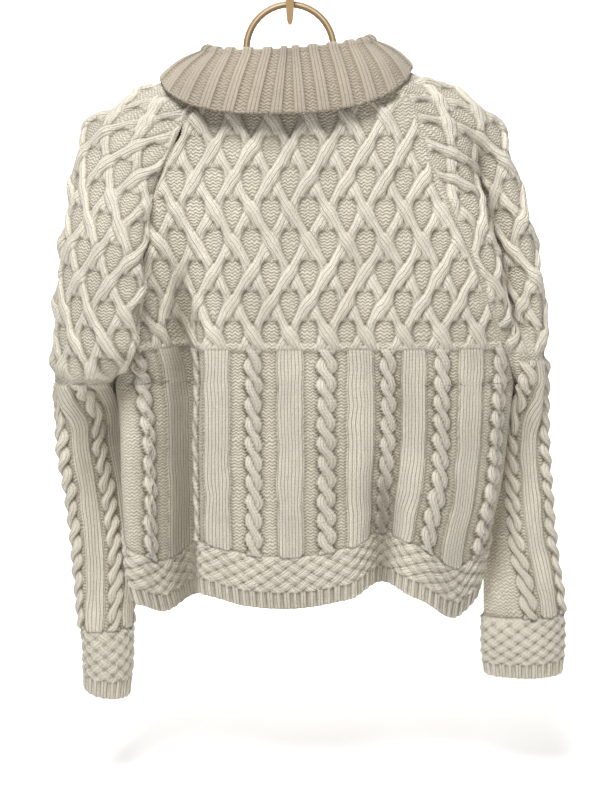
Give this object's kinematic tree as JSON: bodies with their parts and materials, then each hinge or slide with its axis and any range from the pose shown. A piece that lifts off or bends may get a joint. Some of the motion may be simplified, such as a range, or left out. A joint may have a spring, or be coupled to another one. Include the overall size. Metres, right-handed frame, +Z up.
{
  "type": "cable knit sweater on a hanger",
  "caption": "Chunky cream cable knit sweater with a turned-down rib collar and raglan sleeves, hanging from a tan hanger ring on a small hook, seen from its back.",
  "frame": {"origin": "top of the hook, where what carries the hanger holds it; everything hangs below", "axes": "+X to the right of someone who looks at the sweater's back, -Y from the back towards that person, +Z up"},
  "size_m": [0.5803, 0.1718, 0.7968],
  "materials": {
    "cream_wool": "chunky knitted wool, matt",
    "collar_wool": "rib-knitted wool, matt, a little greyer than the body",
    "tan_plastic": "moulded, satin"
  },
  "bodies": {
    "root": {"back": "cream_wool", "front": "cream_wool", "sleeve_left": "cream_wool", "sleeve_right": "cream_wool", "collar": "collar_wool", "hanger": "tan_plastic", "hanger_ring": "tan_plastic", "hook": "tan_plastic", "hook_peg": "tan_plastic"}
  },
  "joints": []
}
